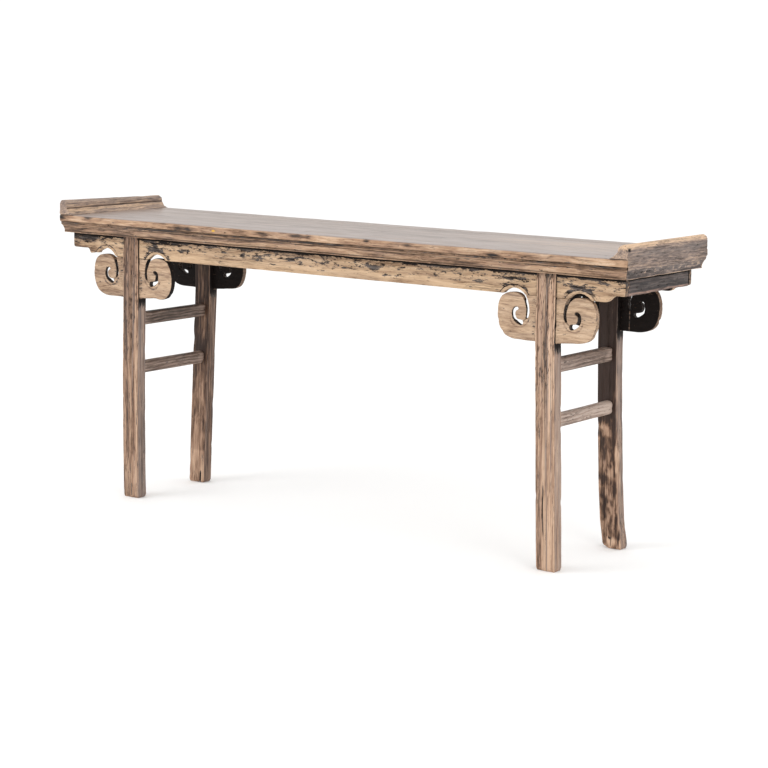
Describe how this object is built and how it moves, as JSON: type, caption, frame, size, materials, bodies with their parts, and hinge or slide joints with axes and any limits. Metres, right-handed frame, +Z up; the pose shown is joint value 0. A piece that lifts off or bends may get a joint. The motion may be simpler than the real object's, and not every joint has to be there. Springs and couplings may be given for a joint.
{
  "type": "altar table",
  "caption": "Long narrow altar table in worn wood: mitred framed top with everted flanges, recessed legs, cloud-scroll spandrels and paired side stretchers.",
  "frame": {"origin": "on the floor, under the middle of the top", "axes": "+X along the table to the right, -Y the front, +Z up"},
  "size_m": [1.984, 0.447, 0.905],
  "materials": {
    "top_wood": "worn, greyed softwood with a soft sheen",
    "edge_wood": "weathered brown wood with dark residue in the grooves",
    "apron_wood": "dry tan wood with remains of black lacquer",
    "scroll_wood": "dry tan wood, darker in the carved slots",
    "end_board_wood": "blackened wood, brown along its lower edge",
    "leg_wood": "weathered brown wood with grey streaks",
    "stretcher_wood": "smooth worn brown wood",
    "hidden_wood": "plain sawn wood"
  },
  "bodies": {
    "root": {"top_panel": "top_wood", "front_rail": "edge_wood", "back_rail": "edge_wood", "left_end_rail": "edge_wood", "right_end_rail": "edge_wood", "front_apron": "apron_wood", "back_apron": "apron_wood", "front_left_spandrel": "scroll_wood", "front_right_spandrel": "scroll_wood", "back_left_spandrel": "scroll_wood", "back_right_spandrel": "scroll_wood", "left_end_apron": "end_board_wood", "right_end_apron": "end_board_wood", "front_left_leg": "leg_wood", "front_right_leg": "leg_wood", "back_left_leg": "leg_wood", "back_right_leg": "leg_wood", "left_upper_stretcher": "stretcher_wood", "left_lower_stretcher": "stretcher_wood", "right_upper_stretcher": "stretcher_wood", "right_lower_stretcher": "stretcher_wood", "left_batten": "hidden_wood", "middle_batten": "hidden_wood", "right_batten": "hidden_wood", "mitre_pegs": "hidden_wood"}
  },
  "joints": []
}
